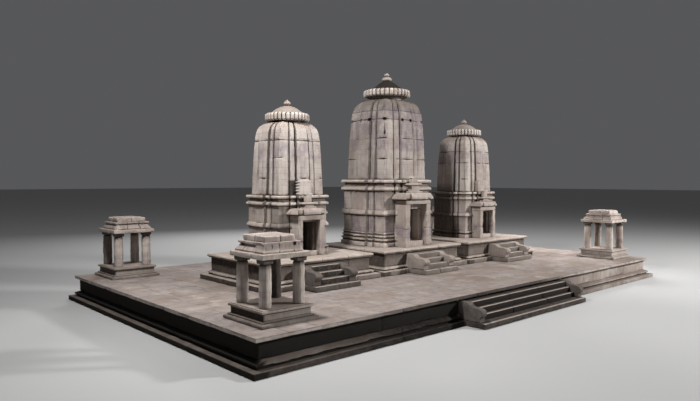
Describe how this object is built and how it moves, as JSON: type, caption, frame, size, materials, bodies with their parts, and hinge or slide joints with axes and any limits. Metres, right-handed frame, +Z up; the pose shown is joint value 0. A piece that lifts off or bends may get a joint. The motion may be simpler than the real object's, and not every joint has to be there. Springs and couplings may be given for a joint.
{
  "type": "hindu temple",
  "caption": "Stone temple: a row of curved-tower shrines on moulded plinths, on one broad stepped platform with a great stair in front and open pillared kiosks at its corners.",
  "frame": {"origin": "middle of the underside of the platform base course, on the ground", "axes": "+X along the front to the right, +Y to the rear, +Z up; the stairs and doorways face -Y"},
  "size_m": [30, 18.02, 12.265],
  "materials": {
    "platform_stone": "weathered grey-brown sandstone, worn pale along the edges",
    "step_stone": "worn sandstone steps, smooth on the treads",
    "plinth_stone": "weathered sandstone with dark stains in the mouldings",
    "shrine_stone": "pale sandstone blocks, chipped, with rain streaks",
    "tower_stone": "pale sandstone blocks with fine joints and pink-grey stains",
    "kiosk_stone": "pale weathered sandstone, chipped at the corners"
  },
  "bodies": {
    "root": {"platform_base_course": "platform_stone", "platform_dado": "platform_stone", "platform_deck": "platform_stone", "great_stair_steps": "step_stone", "great_stair_left_cheek": "step_stone", "great_stair_right_cheek": "step_stone", "left_shrine_plinth": "plinth_stone", "left_shrine_plinth_slab": "plinth_stone", "left_shrine_stair_steps": "step_stone", "left_shrine_stair_left_cheek": "step_stone", "left_shrine_stair_right_cheek": "step_stone", "left_shrine_cella_walls": "shrine_stone", "left_shrine_porch": "shrine_stone", "left_shrine_door_frame": "shrine_stone", "left_shrine_tower": "tower_stone", "left_shrine_crown": "tower_stone", "middle_shrine_plinth": "plinth_stone", "middle_shrine_plinth_slab": "plinth_stone", "middle_shrine_stair_steps": "step_stone", "middle_shrine_stair_left_cheek": "step_stone", "middle_shrine_stair_right_cheek": "step_stone", "middle_shrine_cella_walls": "shrine_stone", "middle_shrine_porch": "shrine_stone", "middle_shrine_door_frame": "shrine_stone", "middle_shrine_tower": "tower_stone", "middle_shrine_crown": "tower_stone", "right_shrine_plinth": "plinth_stone", "right_shrine_plinth_slab": "plinth_stone", "right_shrine_stair_steps": "step_stone", "right_shrine_stair_left_cheek": "step_stone", "right_shrine_stair_right_cheek": "step_stone", "right_shrine_cella_walls": "shrine_stone", "right_shrine_porch": "shrine_stone", "right_shrine_door_frame": "shrine_stone", "right_shrine_tower": "tower_stone", "right_shrine_crown": "tower_stone", "front_left_kiosk_base": "kiosk_stone", "front_left_kiosk_columns": "kiosk_stone", "front_left_kiosk_roof": "kiosk_stone", "front_right_kiosk_base": "kiosk_stone", "front_right_kiosk_columns": "kiosk_stone", "front_right_kiosk_roof": "kiosk_stone", "rear_left_kiosk_base": "kiosk_stone", "rear_left_kiosk_columns": "kiosk_stone", "rear_left_kiosk_roof": "kiosk_stone", "rear_right_kiosk_base": "kiosk_stone", "rear_right_kiosk_columns": "kiosk_stone", "rear_right_kiosk_roof": "kiosk_stone"}
  },
  "joints": []
}
